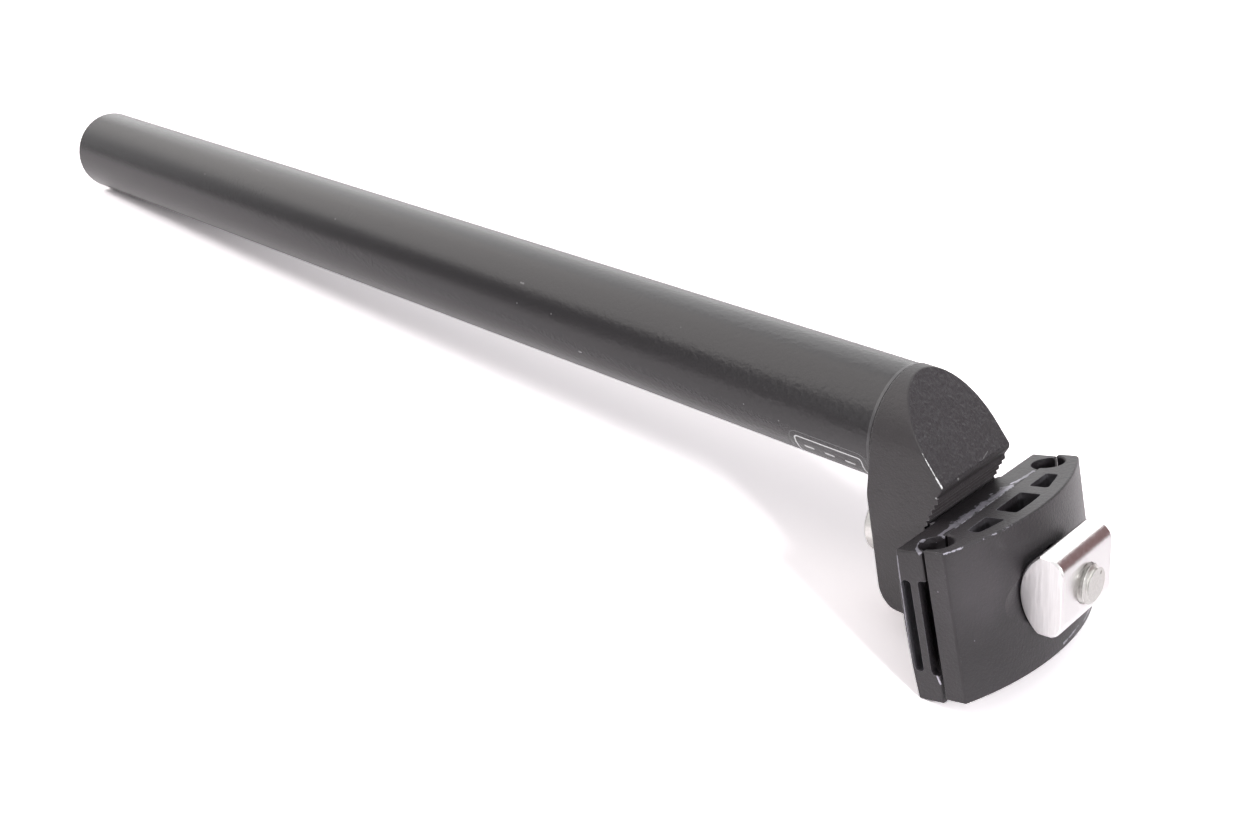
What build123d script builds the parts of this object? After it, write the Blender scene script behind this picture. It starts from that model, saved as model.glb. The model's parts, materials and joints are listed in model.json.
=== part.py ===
from build123d import *
import os
from math import asin, cos, radians, sin, sqrt, tan

# Bicycle seatpost with a set-back forged head and a single-bolt saddle clamp, in millimetres.
# The pieces are modelled in the post's own frame, with X up the tube, Y across and Z to the
# front, and are laid down at the end as the post comes to rest on its tube end and its clamp.

# Tube
tube_diameter = 25.4
tube_wall = 2.4
tube_length = 323.4
tube_end_chamfer = 0.6
seam_chamfer = 0.3

# Tilt of the saddle clamp: how far its axis is set back from the middle of the tube, the lean
# of the clamp in degrees, and its swing to each side of the bolt
axis_setback = 20.3
saddle_tilt = 14.4
tilt_travel = 16.0

# Saddle rails that the clamp takes
rail_diameter = 7.0
rail_spacing = 43.0

# Forged head, bonded into the reamed end of the tube on a spigot
head_overhang = 0.2
head_depth = 13.4
head_tail = 16.1
head_back_corner = 1.5
head_underside_slope = 12.0
head_heel_radius = 6.5
head_edge_radius = 0.6
face_slope = 41.35
face_ridge_run = 2.6
face_ridge_radius = 1.4
face_edge_radius = 0.35
spigot_length = 30.0
spigot_ream = 0.2
bond_gap = 0.05

# Serrations between the cradle of the head and the belly of the lower clamp
tooth_depth = 0.6
tooth_pitch = 1.5
tooth_lift = 0.15
cradle_front_angle = 25.3
cradle_land = 1.2

# Clamp bolt and washer
bolt_lean = 5.0
bolt_diameter = 8.0
bolt_point = 1.8
bolt_tip_chamfer = 0.35
bolt_head_diameter = 13.0
bolt_head_height = 8.0
bolt_head_chamfer = 0.8
bolt_socket_width = 6.0
bolt_socket_depth = 4.0
bolt_clearance = 0.35
washer_rim = 1.5
washer_play = 0.2
washer_thickness = 1.6
washer_edge = 0.25
washer_floor = 8.7
spot_face_clearance = 0.6

# Half-round nut
nut_radius = 11.05
nut_side_cut = 2.5
nut_length = 19.8
nut_flat_drop = 1.9
nut_shoulder_radius = 3.4
nut_edge = 0.35
nut_countersink = 0.3
nut_thread_gap = 0.05
nut_seat_gap = 0.15

# Both clamps
clamp_length = 32.0
outer_lip = 1.2

# Lower clamp, with heights measured from the middle of the rails
lower_shift = 0.7
lower_top_gap = 0.4
belly_depth = 11.5
belly_inset = 0.3
wing_depth = 6.85
wing_crown = 0.75
lip_notch_length = 20.0
lip_notch_depth = 2.24
lip_notch_radius = 0.8
pocket_length = 19.4
pocket_height = 2.1
pocket_rim = 0.85
pocket_depth = 3.0
pocket_corner = 0.8
lower_edge_radius = 0.35

# Upper clamp, which ends at the middle of the rails, with heights measured from there
upper_end_inset = 0.2
upper_side_inset = 0.05
upper_lip_top = 4.6
seat_height = 8.8
seat_depth = 1.94
upper_roof = 2.9
cell_floor = 3.0
middle_cell_width = 9.7
cell_web = 3.45
groove_wall = 2.6
cell_corner = 0.6
upper_edge_chamfer = 0.3

# How far a cut runs past the face that it opens
past = 2.0

# Search for the lean at which the post comes to rest, in degrees
steepest_lean = 30.0
lean_tolerance = 1e-5

# Sizes worked out from those above: the nut, the clamps, the cradle and the head stand on each
# other, and so give the heights of the rails, of the cradle and of the washer under the axis
tube_radius = tube_diameter / 2
bore_radius = tube_radius - tube_wall
socket_radius = bore_radius + spigot_ream
head_radius = tube_radius + head_overhang
bolt_radius = bolt_diameter / 2
nut_width = 2 * (nut_radius - nut_side_cut)
washer_radius = bolt_head_diameter / 2 + washer_rim
rail_radius = rail_diameter / 2
rail_drop = nut_radius + nut_seat_gap + seat_height
cradle_radius = rail_drop + belly_depth
cradle_root = cradle_radius + tooth_depth / 2
cradle_tip = cradle_radius - tooth_depth / 2
belly_tip = cradle_tip - tooth_lift
belly_root = belly_tip - tooth_depth
axis_reach = tube_length + head_depth + cradle_radius
head_back = axis_setback + head_tail
washer_seat = cradle_radius + washer_floor
bolt_length = washer_seat + washer_thickness - nut_flat_drop + bolt_point
clamp_side = rail_spacing / 2 + rail_radius + outer_lip

# Planes through the tilt axis: seen from the side with the piece's own up direction upwards,
# from above along that direction, and from the front along the rails
tilt_axis = Vector(axis_reach, 0, -axis_setback)
across = Vector(0, 1, 0)


def back_direction(lean):
    """Direction to the back of a piece that leans forward from the post by lean degrees."""
    return Vector(sin(radians(lean)), 0, -cos(radians(lean)))


def up_direction(lean):
    """Direction up a piece that leans forward from the post by lean degrees."""
    return Vector(cos(radians(lean)), 0, sin(radians(lean)))


def side_plane(lean):
    """Plane across the tilt axis, with x to the back and y up."""
    return Plane(origin=tilt_axis, x_dir=back_direction(lean), z_dir=-across)


def plan_plane(lean):
    """Plane through the tilt axis with its normal up, x to the back and y across."""
    return Plane(origin=tilt_axis, x_dir=back_direction(lean), z_dir=up_direction(lean))


def front_plane(lean):
    """Plane through the tilt axis with its normal to the back, x across and y up."""
    return Plane(origin=tilt_axis, x_dir=across, z_dir=back_direction(lean))


def serration(root, tip, start, end):
    """Zigzag points below the tilt axis, from root to root between two angles in radians."""
    count = round((end - start) * cradle_radius / tooth_pitch)
    points = []
    for index in range(2 * count + 1):
        radius = tip if index % 2 else root
        angle = start + (end - start) * index / (2 * count)
        points.append((radius * sin(angle), -radius * cos(angle)))
    return points


# Post tube, open at its lower end and reamed at its upper end
with BuildPart() as post_tube:
    with BuildSketch(Plane.YZ):
        Circle(tube_radius)
        Circle(bore_radius, mode=Mode.SUBTRACT)
    extrude(amount=tube_length)
    chamfer(post_tube.faces().sort_by(Axis.X)[0].edges(), length=tube_end_chamfer)
    seam_rim = post_tube.faces().sort_by(Axis.X)[-1].edges().sort_by(SortBy.LENGTH)[-1]
    chamfer(seam_rim, length=seam_chamfer)
    with BuildSketch(Plane.YZ.offset(tube_length)):
        Circle(socket_radius)
    extrude(amount=-spigot_length, mode=Mode.SUBTRACT)

# Clamp head: a side profile with the cradle, cut to a section that is round at the front
seam_level = tube_length - axis_reach
front_line = -axis_setback - head_radius
underside_start = (tube_radius - axis_setback, seam_level)
underside_rise = (head_tail - underside_start[0]) * tan(radians(head_underside_slope))
face_rise = tan(radians(face_slope))
cradle_start = radians(cradle_front_angle)
cradle_end = asin((head_tail - cradle_land) / cradle_root)
cradle_rise = tan(cradle_start)
cradle_points = serration(cradle_root, cradle_tip, -cradle_start, cradle_end)
cradle_front = Vector(*cradle_points[0])
face_ridge = cradle_front + Vector(-face_ridge_run, face_ridge_run * cradle_rise)
face_foot = (front_line, face_ridge.Y - (face_ridge.X - front_line) * face_rise)

with BuildPart() as clamp_head:
    with BuildSketch(side_plane(0)):
        with BuildLine():
            Polyline(*cradle_points)
            FilletPolyline(
                cradle_points[-1],
                (head_tail, -sqrt(cradle_tip**2 - head_tail**2)),
                (head_tail, seam_level + underside_rise),
                underside_start,
                (front_line, seam_level),
                face_foot,
                face_ridge,
                cradle_front,
                radius=[face_edge_radius, head_heel_radius, 0, 0, 0, face_ridge_radius],
            )
        make_face()
    extrude(amount=head_radius, both=True)
    with BuildSketch(Plane.YZ.offset(tube_length)) as head_section:
        Rectangle(2 * head_radius, head_back, align=(Align.CENTER, Align.MAX))
        fillet(head_section.vertices().group_by(Axis.Y)[0], radius=head_back_corner)
        Circle(head_radius)
    extrude(amount=axis_reach - tube_length, mode=Mode.INTERSECT)
    slanted_face = clamp_head.faces().filter_by(GeomType.PLANE).sort_by(
        lambda face: face.normal_at().dot(up_direction(face_slope))
    )[-1]
    face_rim = slanted_face.edges().sort_by(Axis.X)[:-1]
    underside = clamp_head.faces().filter_by(GeomType.PLANE).sort_by(
        lambda face: face.normal_at().dot(up_direction(head_underside_slope))
    )[0]
    underside_sides = underside.edges().filter_by(lambda edge: abs(edge.center().Y) > head_radius / 2)
    fillet(face_rim, radius=face_edge_radius)
    fillet(underside_sides, radius=head_edge_radius)
    with BuildSketch(Plane.YZ.offset(tube_length)):
        Circle(socket_radius - bond_gap)
    extrude(amount=bond_gap - spigot_length)
    with BuildSketch(plan_plane(bolt_lean)):
        Circle(bolt_radius + bolt_clearance)
    extrude(amount=-2 * washer_seat, mode=Mode.SUBTRACT)
    with BuildSketch(plan_plane(bolt_lean).offset(-washer_seat)):
        Circle(washer_radius + spot_face_clearance)
    extrude(amount=-washer_seat, mode=Mode.SUBTRACT)

# Lower clamp: two wings with the lower halves of the rail grooves, on a serrated belly
lower_front = clamp_length / 2 - lower_shift
lower_back = clamp_length / 2 + lower_shift
lower_top = -rail_drop - lower_top_gap
wing_top = lower_top - 2 * lower_edge_radius
wing_middle = -rail_drop - wing_depth
wing_end = wing_middle + wing_crown
belly_points = serration(
    belly_root, belly_tip, -asin(lower_front / belly_root), asin(lower_back / belly_root)
)
bolt_swing = radians(tilt_travel) + asin(bolt_radius / belly_tip)
lower_slot = 2 * (belly_tip * sin(bolt_swing) + bolt_clearance)
slot_width = bolt_diameter + 2 * bolt_clearance

with BuildPart() as lower_clamp:
    with BuildSketch(side_plane(saddle_tilt)):
        with BuildLine():
            ThreePointArc((-lower_front, wing_end), (lower_shift, wing_middle), (lower_back, wing_end))
            Polyline(
                (lower_back, wing_end),
                (lower_back, lower_top),
                (-lower_front, lower_top),
                (-lower_front, wing_end),
            )
        make_face()
    extrude(amount=clamp_side, both=True)
    fillet(lower_clamp.edges(), radius=lower_edge_radius)
    with BuildSketch(side_plane(saddle_tilt)):
        with BuildLine():
            Polyline(*belly_points)
            Polyline(belly_points[-1], (lower_back, wing_top), (-lower_front, wing_top), belly_points[0])
        make_face()
    extrude(amount=head_radius - belly_inset, both=True)
    with BuildSketch(front_plane(saddle_tilt)):
        with Locations((0, -rail_drop)):
            with GridLocations(rail_spacing, 0, 2, 1):
                Circle(rail_radius)
    extrude(amount=lower_back + past, both=True, mode=Mode.SUBTRACT)
    for side in (-1, 1):
        with BuildSketch(side_plane(saddle_tilt).offset(side * rail_spacing / 2)):
            with Locations((lower_shift, -rail_drop - lip_notch_depth)):
                RectangleRounded(
                    lip_notch_length, rail_diameter, lip_notch_radius, align=(Align.CENTER, Align.MIN)
                )
        extrude(amount=side * (clamp_side - rail_spacing / 2 + past), mode=Mode.SUBTRACT)
        with BuildSketch(side_plane(saddle_tilt).offset(side * (clamp_side - pocket_depth))):
            with Locations((lower_shift, -rail_drop - wing_depth + pocket_rim)):
                RectangleRounded(
                    pocket_length, pocket_height, pocket_corner, align=(Align.CENTER, Align.MIN)
                )
        extrude(amount=side * (pocket_depth + past), mode=Mode.SUBTRACT)
    with BuildSketch(plan_plane(saddle_tilt).offset(lower_top + past)):
        SlotOverall(lower_slot, slot_width)
    extrude(amount=-cradle_root, mode=Mode.SUBTRACT)

# Upper clamp: an arched section with three cells, a slot for the bolt and a seat for the nut
upper_half = clamp_length / 2 - upper_end_inset
upper_side = clamp_side - upper_side_inset
upper_bottom = -rail_drop
upper_top = -rail_drop + seat_height + seat_depth
lip_level = -rail_drop + upper_lip_top
arch_rise = upper_top - lip_level
arch_radius = (upper_side**2 + arch_rise**2) / (2 * arch_rise)
cell_level = -rail_drop + cell_floor
side_cell_inner = middle_cell_width / 2 + cell_web
side_cell_outer = rail_spacing / 2 - rail_radius - groove_wall
side_cell_width = side_cell_outer - side_cell_inner
side_cell_middle = (side_cell_outer + side_cell_inner) / 2
swing_tangent = tan(radians(tilt_travel))
swing_width = bolt_radius / cos(radians(tilt_travel)) + bolt_clearance
slot_levels = (upper_top + past, upper_bottom - past)

with BuildPart() as upper_clamp:
    with BuildSketch(front_plane(saddle_tilt)):
        with BuildLine():
            ThreePointArc((upper_side, lip_level), (0, upper_top), (-upper_side, lip_level))
            Polyline(
                (-upper_side, lip_level),
                (-upper_side, upper_bottom),
                (upper_side, upper_bottom),
                (upper_side, lip_level),
            )
        make_face()
        with Locations((0, -rail_drop)):
            with GridLocations(rail_spacing, 0, 2, 1):
                Circle(rail_radius, mode=Mode.SUBTRACT)
    extrude(amount=upper_half, both=True)
    chamfer(upper_clamp.edges(), length=upper_edge_chamfer)
    with BuildSketch(front_plane(saddle_tilt)) as cells:
        with Locations((0, cell_level)):
            Rectangle(middle_cell_width, arch_rise, align=(Align.CENTER, Align.MIN))
        with Locations((-side_cell_middle, cell_level), (side_cell_middle, cell_level)):
            Rectangle(side_cell_width, arch_rise, align=(Align.CENTER, Align.MIN))
        with Locations((0, upper_top - arch_radius)):
            Circle(arch_radius - upper_roof, mode=Mode.INTERSECT)
        fillet(cells.vertices(), radius=cell_corner)
    extrude(amount=upper_half + past, both=True, mode=Mode.SUBTRACT)
    with BuildSketch(side_plane(saddle_tilt)):
        Circle(nut_radius + nut_seat_gap)
    extrude(amount=upper_side + past, both=True, mode=Mode.SUBTRACT)
    for level in slot_levels:
        with BuildSketch(plan_plane(saddle_tilt).offset(level)):
            SlotOverall(2 * (swing_width - level * swing_tangent), slot_width)
    loft(mode=Mode.SUBTRACT)

# Line of the clamp bolt, from its head up through the tilt axis
bolt_axis = Axis(tilt_axis, up_direction(bolt_lean))

# Barrel nut: a half-round bar that turns in the seat of the upper clamp
with BuildPart() as barrel_nut:
    with BuildSketch(side_plane(bolt_lean)) as nut_section:
        Circle(nut_radius)
        with Locations((0, -nut_flat_drop)):
            Rectangle(nut_width, nut_radius, align=(Align.CENTER, Align.MAX), mode=Mode.INTERSECT)
        fillet(nut_section.vertices().group_by(Axis.Y)[-1], radius=nut_shoulder_radius)
    extrude(amount=nut_length / 2, both=True)
    chamfer(barrel_nut.faces().sort_by(Axis.Y)[0].edges(), length=nut_edge)
    chamfer(barrel_nut.faces().sort_by(Axis.Y)[-1].edges(), length=nut_edge)
    with BuildSketch(plan_plane(bolt_lean)):
        Circle(bolt_radius + nut_thread_gap)
    extrude(amount=-nut_radius - past, mode=Mode.SUBTRACT)
    nut_mouth = barrel_nut.edges().filter_by(GeomType.CIRCLE).sort_by(bolt_axis)[-1]
    chamfer(nut_mouth, length=nut_countersink)

# Bolt washer on the spot face under the head
with BuildPart() as bolt_washer:
    with BuildSketch(plan_plane(bolt_lean).offset(-washer_seat)):
        Circle(washer_radius)
        Circle(bolt_radius + washer_play, mode=Mode.SUBTRACT)
    extrude(amount=-washer_thickness)
    chamfer(bolt_washer.edges().filter_by(GeomType.CIRCLE), length=washer_edge)

# Clamp bolt, a socket cap screw from below, with its point past the flat of the nut
bolt_seat = plan_plane(bolt_lean).offset(-washer_seat - washer_thickness)
with BuildPart() as clamp_bolt:
    with BuildSketch(bolt_seat):
        Circle(bolt_head_diameter / 2)
    extrude(amount=-bolt_head_height)
    with BuildSketch(bolt_seat):
        Circle(bolt_radius)
    extrude(amount=bolt_length)
    chamfer(clamp_bolt.edges().sort_by(bolt_axis)[-1], length=bolt_tip_chamfer)
    chamfer(clamp_bolt.edges().sort_by(bolt_axis)[0], length=bolt_head_chamfer)
    with BuildSketch(bolt_seat.offset(-bolt_head_height)):
        RegularPolygon(bolt_socket_width / 2, 6, major_radius=False)
    extrude(amount=bolt_socket_depth, mode=Mode.SUBTRACT)

pieces = {
    "post_tube": post_tube,
    "clamp_head": clamp_head,
    "lower_clamp": lower_clamp,
    "upper_clamp": upper_clamp,
    "barrel_nut": barrel_nut,
    "bolt_washer": bolt_washer,
    "clamp_bolt": clamp_bolt,
}


def lowest(piece, lean):
    """Height of a piece's lowest point once the tube rises to the head by lean degrees."""
    return piece.part.rotate(Axis.Y, -lean).bounding_box().min.Z


# Rest: the lean at which the tube end and the clamp stand on one floor, found by halving
lean_low = 0.0
lean_high = steepest_lean
while lean_high - lean_low > lean_tolerance:
    rest_lean = (lean_low + lean_high) / 2
    clamp_bottom = min(lowest(lower_clamp, rest_lean), lowest(upper_clamp, rest_lean))
    if clamp_bottom < lowest(post_tube, rest_lean):
        lean_low = rest_lean
    else:
        lean_high = rest_lean

# The origin is under the middle of the whole post, on the floor
upright = Compound(children=[piece.part.rotate(Axis.Y, -rest_lean) for piece in pieces.values()])
rest_box = upright.bounding_box()
rest_origin = Vector(-rest_box.center().X, 0, -rest_box.min.Z)
rest_frame = Plane(origin=rest_origin, x_dir=up_direction(rest_lean), z_dir=-back_direction(rest_lean))

os.makedirs("parts", exist_ok=True)
for name, piece in pieces.items():
    piece.part = rest_frame.from_local_coords(piece.part)
    piece.part.label = name
    export_step(piece.part, f"parts/{name}.step")
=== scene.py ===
"""Looks of a set-back seatpost: finishes, a threaded clamp bolt and a white studio."""
import json
import logging
import math
from dataclasses import dataclass
from enum import Enum
from typing import Mapping, Optional, Sequence, Union

import bmesh
import bpy
from mathutils import Matrix, Vector


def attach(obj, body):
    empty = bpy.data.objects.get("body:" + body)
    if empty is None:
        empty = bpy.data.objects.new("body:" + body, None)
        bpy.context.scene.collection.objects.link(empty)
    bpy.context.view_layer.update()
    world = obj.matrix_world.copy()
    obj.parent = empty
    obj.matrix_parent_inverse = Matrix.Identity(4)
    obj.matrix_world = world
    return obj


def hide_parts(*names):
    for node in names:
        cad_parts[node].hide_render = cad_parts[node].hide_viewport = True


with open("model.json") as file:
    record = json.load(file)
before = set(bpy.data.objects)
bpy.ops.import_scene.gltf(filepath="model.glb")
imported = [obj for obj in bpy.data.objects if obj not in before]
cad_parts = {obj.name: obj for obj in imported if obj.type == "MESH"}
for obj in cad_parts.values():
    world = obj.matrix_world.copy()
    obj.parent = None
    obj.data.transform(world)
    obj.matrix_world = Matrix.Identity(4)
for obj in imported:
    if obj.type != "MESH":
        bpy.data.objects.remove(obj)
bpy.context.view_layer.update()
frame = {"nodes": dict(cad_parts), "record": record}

MM = 0.001
Socket = bpy.types.NodeSocket
Value = Union[float, Sequence[float], Socket]
Inputs = Mapping[Union[str, int], Value]
Colour = tuple[float, float, float, float]
Triple = tuple[float, float, float]
Range = tuple[float, float]
log = logging.getLogger("seatpost")


class Body(Enum):
    """The two rigid bodies of the seatpost."""

    POST = "post"
    SADDLE_CLAMP = "saddle_clamp"


class Sight(Enum):
    """What a ray is looking with when it meets the studio."""

    CAMERA = "Is Camera Ray"
    GLOSSY = "Is Glossy Ray"
    TRANSMISSION = "Is Transmission Ray"


class NodeGraph:
    """Makes and links the nodes of one node tree."""

    def __init__(self, tree: bpy.types.NodeTree) -> None:
        """Keeps the tree that the nodes go into."""
        self.tree = tree

    def feed(self, node: bpy.types.Node, inputs: Inputs) -> None:
        """Sets or links inputs of a node.

        Args:
            node: The node.
            inputs: Values or sockets, by name or by number.
        """
        for key, value in inputs.items():
            if isinstance(value, Socket):
                self.tree.links.new(value, node.inputs[key])
            else:
                node.inputs[key].default_value = value

    def add(self, kind: str, inputs: Optional[Inputs] = None, **settings: object) -> bpy.types.Node:
        """Adds a node.

        Args:
            kind: Type name of the node.
            inputs: Values or sockets for its inputs, by name or by number.
            settings: Properties of the node itself.

        Returns:
            The new node.
        """
        node = self.tree.nodes.new(kind)
        for name, setting in settings.items():
            setattr(node, name, setting)
        self.feed(node, inputs or {})
        return node

    def math(self, operation: str, *values: Value, clamp: bool = False) -> Socket:
        """Adds a Math node.

        Args:
            operation: Name of the operation.
            values: Its operands.
            clamp: Whether the result is kept between 0 and 1.

        Returns:
            The result.
        """
        inputs = dict(enumerate(values))
        return self.add("ShaderNodeMath", inputs, operation=operation, use_clamp=clamp).outputs[0]

    def vector(self, operation: str, *values: Value) -> bpy.types.Node:
        """Adds a Vector Math node.

        Args:
            operation: Name of the operation.
            values: Its operands.

        Returns:
            The node, because some operations put out a vector and others a value.
        """
        return self.add("ShaderNodeVectorMath", dict(enumerate(values)), operation=operation)

    def ramp(self, value: Value, start: Value, end: Value, low: Value = 0.0, high: Value = 1.0) -> Socket:
        """Turns a value into a smooth step.

        Args:
            value: What is measured.
            start: Where the step starts.
            end: Where the step ends.
            low: Result before the step.
            high: Result after the step.

        Returns:
            The stepped value.
        """
        inputs = {"Value": value, "From Min": start, "From Max": end, "To Min": low, "To Max": high}
        return self.add("ShaderNodeMapRange", inputs, interpolation_type="SMOOTHSTEP").outputs["Result"]

    def mix(self, share: Value, first: Value, second: Value) -> Socket:
        """Mixes two colours.

        Args:
            share: How much of the second colour shows.
            first: The colour at 0.
            second: The colour at 1.

        Returns:
            The mixed colour.
        """
        node = self.add("ShaderNodeMix", {0: share, 6: first, 7: second}, data_type="RGBA")
        return node.outputs[2]

    def blend(self, share: Value, first: Value, second: Value) -> Socket:
        """Mixes two numbers.

        Args:
            share: How much of the second number counts.
            first: The number at 0.
            second: The number at 1.

        Returns:
            The mixed number.
        """
        return self.add("ShaderNodeMix", {0: share, 2: first, 3: second}, data_type="FLOAT").outputs[0]

    def vary(self, middle: Value, tone: Socket, swing: Value) -> Socket:
        """Varies a number round its middle.

        Args:
            middle: The number where the tone is halfway.
            tone: A tone from 0 to 1.
            swing: How far the number runs from the lowest tone to the highest.

        Returns:
            The varied number.
        """
        return self.math("MULTIPLY_ADD", self.math("SUBTRACT", tone, 0.5), swing, middle)

    def place(self, location: Sequence[float] = (0, 0, 0), turn: float = 0.0,
              stretch: Sequence[float] = (1, 1, 1)) -> Socket:
        """Reads Object coordinates in a frame of their own.

        Args:
            location: Where the frame's origin is.
            turn: Angle by which the frame is turned about Y.
            stretch: Size of the frame's unit along its axes.

        Returns:
            The coordinates in that frame.
        """
        source = self.add("ShaderNodeTexCoord").outputs["Object"]
        inputs = {"Vector": source, "Location": location, "Rotation": (0, turn, 0), "Scale": stretch}
        return self.add("ShaderNodeMapping", inputs, vector_type="TEXTURE").outputs[0]

    def facing(self, direction: Sequence[float]) -> Socket:
        """Tells how much the surface faces a direction, from -1 to 1."""
        normal = self.add("ShaderNodeTexCoord").outputs["Normal"]
        return self.vector("DOT_PRODUCT", normal, direction).outputs["Value"]

    def noise(self, place: Socket, scale: Value, detail: float = 2.0, roughness: float = 0.5) -> Socket:
        """Adds a noise that runs from 0 to 1 over the surface.

        Args:
            place: Coordinates that it follows.
            scale: How many features there are in a metre.
            detail: How many finer layers it has.
            roughness: How strong the finer layers are.

        Returns:
            The noise.
        """
        inputs = {"Vector": place, "Scale": scale, "Detail": detail, "Roughness": roughness}
        return self.add("ShaderNodeTexNoise", inputs).outputs[0]

    def group(self, tree: bpy.types.NodeTree, inputs: Inputs) -> bpy.types.Node:
        """Places a node group and feeds its inputs."""
        return self.add("ShaderNodeGroup", inputs, node_tree=tree)


class Effects:
    """Node groups that several finishes share, each built once."""

    def __init__(self) -> None:
        """Builds the groups."""
        self.edge_wear = self._edge_wear()
        self.grain = self._grain()
        self.specks = self._specks()
        self.stretch_mark = self._stretch_mark()
        self.outline = self._outline()
        self.recess_light = self._painted_recess_light()

    @staticmethod
    def _start(name: str, inputs: Mapping[str, Union[float, str]],
               outputs: Sequence[str]) -> tuple[NodeGraph, bpy.types.Node, bpy.types.Node]:
        """Starts a group.

        Args:
            name: Name of the group.
            inputs: Its inputs, each with a default number or the word vector.
            outputs: Names of its outputs, which are numbers.

        Returns:
            Its graph, its input node and its output node.
        """
        tree = bpy.data.node_groups.new(name, "ShaderNodeTree")
        for label, default in inputs.items():
            kind = "NodeSocketVector" if default == "vector" else "NodeSocketFloat"
            socket = tree.interface.new_socket(label, in_out="INPUT", socket_type=kind)
            if default != "vector":
                socket.default_value = default
        for label in outputs:
            tree.interface.new_socket(label, in_out="OUTPUT", socket_type="NodeSocketFloat")
        graph = NodeGraph(tree)
        return graph, graph.add("NodeGroupInput"), graph.add("NodeGroupOutput")

    def _edge_wear(self) -> bpy.types.NodeTree:
        """Builds the wear that breaks through along sharp edges.

        Returns:
            The group.
        """
        inputs = {"Place": "vector", "Reach": 0.3 * MM, "Scale": 900.0, "Cover": 0.5}
        graph, given, result = self._start("Edge wear", inputs, ["Mask"])
        gain, swing, blur, least = 4.0, 2.2, 0.25, 0.02
        rounded = graph.add("ShaderNodeBevel", {"Radius": given.outputs["Reach"]}, samples=6).outputs[0]
        flat = graph.add("ShaderNodeNewGeometry").outputs["Normal"]
        facing = graph.vector("DOT_PRODUCT", rounded, flat).outputs["Value"]
        edge = graph.math("MULTIPLY", graph.math("SUBTRACT", 1.0, facing), gain, clamp=True)
        noise = graph.noise(given.outputs["Place"], given.outputs["Scale"], detail=3.0, roughness=0.6)
        limit = graph.vary(graph.math("SUBTRACT", 1.0, given.outputs["Cover"]), noise, swing)
        mask = graph.ramp(edge, limit, graph.math("ADD", limit, blur))
        mask = graph.math("MULTIPLY", mask, graph.math("GREATER_THAN", edge, least))
        graph.feed(result, {"Mask": mask})
        return graph.tree

    def _grain(self) -> bpy.types.NodeTree:
        """Builds a fine pebbled grain.

        Returns:
            The group.
        """
        inputs = {"Place": "vector", "Scale": 1500.0}
        graph, given, result = self._start("Fine grain", inputs, ["Height", "Tone"])
        cell_share, finer, coarser = -0.7, 2.3, 0.04
        place, scale = given.outputs["Place"], given.outputs["Scale"]
        cells = graph.add("ShaderNodeTexVoronoi", {"Vector": place, "Scale": scale}, feature="SMOOTH_F1")
        noise = graph.noise(place, graph.math("MULTIPLY", scale, finer), detail=3.0, roughness=0.6)
        height = graph.math("MULTIPLY_ADD", cells.outputs["Distance"], cell_share, noise)
        tone = graph.noise(place, graph.math("MULTIPLY", scale, coarser), detail=4.0, roughness=0.55)
        graph.feed(result, {"Height": height, "Tone": tone})
        return graph.tree

    def _specks(self) -> bpy.types.NodeTree:
        """Builds sparse small round specks.

        Returns:
            The group.
        """
        inputs = {"Place": "vector", "Scale": 400.0, "Share": 0.1, "Size": 0.1}
        graph, given, result = self._start("Specks", inputs, ["Mask"])
        core = 0.5
        spread = {"Vector": given.outputs["Place"], "Scale": given.outputs["Scale"]}
        cells = graph.add("ShaderNodeTexVoronoi", spread)
        parts = graph.add("ShaderNodeSeparateColor", {"Color": cells.outputs["Color"]})
        chosen = graph.math("LESS_THAN", parts.outputs["Red"], given.outputs["Share"])
        width = graph.math("MULTIPLY", given.outputs["Size"], parts.outputs["Green"])
        dot = graph.ramp(cells.outputs["Distance"], graph.math("MULTIPLY", width, core), width, 1.0, 0.0)
        graph.feed(result, {"Mask": graph.math("MULTIPLY", chosen, dot)})
        return graph.tree

    def _stretch_mark(self) -> bpy.types.NodeTree:
        """Builds a ragged mark along a straight stretch, used for wear and for painted glints.

        Returns:
            The group.
        """
        inputs = {"Place": "vector", "Start": "vector", "End": "vector", "Width": 0.5 * MM,
                  "Scale": 1500.0, "Break": 0.8}
        graph, given, result = self._start("StretchMark", inputs, ["Mask"])
        fine_swing, coarse_swing, coarser, core = 4.0, 2.0, 0.3, 0.7
        place, scale = given.outputs["Place"], given.outputs["Scale"]
        run = graph.vector("SUBTRACT", given.outputs["End"], given.outputs["Start"]).outputs[0]
        away = graph.vector("SUBTRACT", place, given.outputs["Start"]).outputs[0]
        along = graph.math("DIVIDE", graph.vector("DOT_PRODUCT", away, run).outputs["Value"],
                           graph.vector("DOT_PRODUCT", run, run).outputs["Value"], clamp=True)
        scaled = graph.add("ShaderNodeVectorMath", {0: run, "Scale": along}, operation="SCALE").outputs[0]
        gap = graph.vector("DISTANCE", away, scaled).outputs["Value"]
        fine = graph.noise(place, scale, detail=4.0, roughness=0.65)
        coarse = graph.noise(place, graph.math("MULTIPLY", scale, coarser), detail=1.0)
        ragged = graph.vary(graph.math("DIVIDE", gap, given.outputs["Width"]), coarse, coarse_swing)
        swing = graph.math("MULTIPLY", given.outputs["Break"], fine_swing)
        depth = graph.vary(ragged, fine, swing)
        graph.feed(result, {"Mask": graph.ramp(depth, core, 1.0, 1.0, 0.0)})
        return graph.tree

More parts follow.
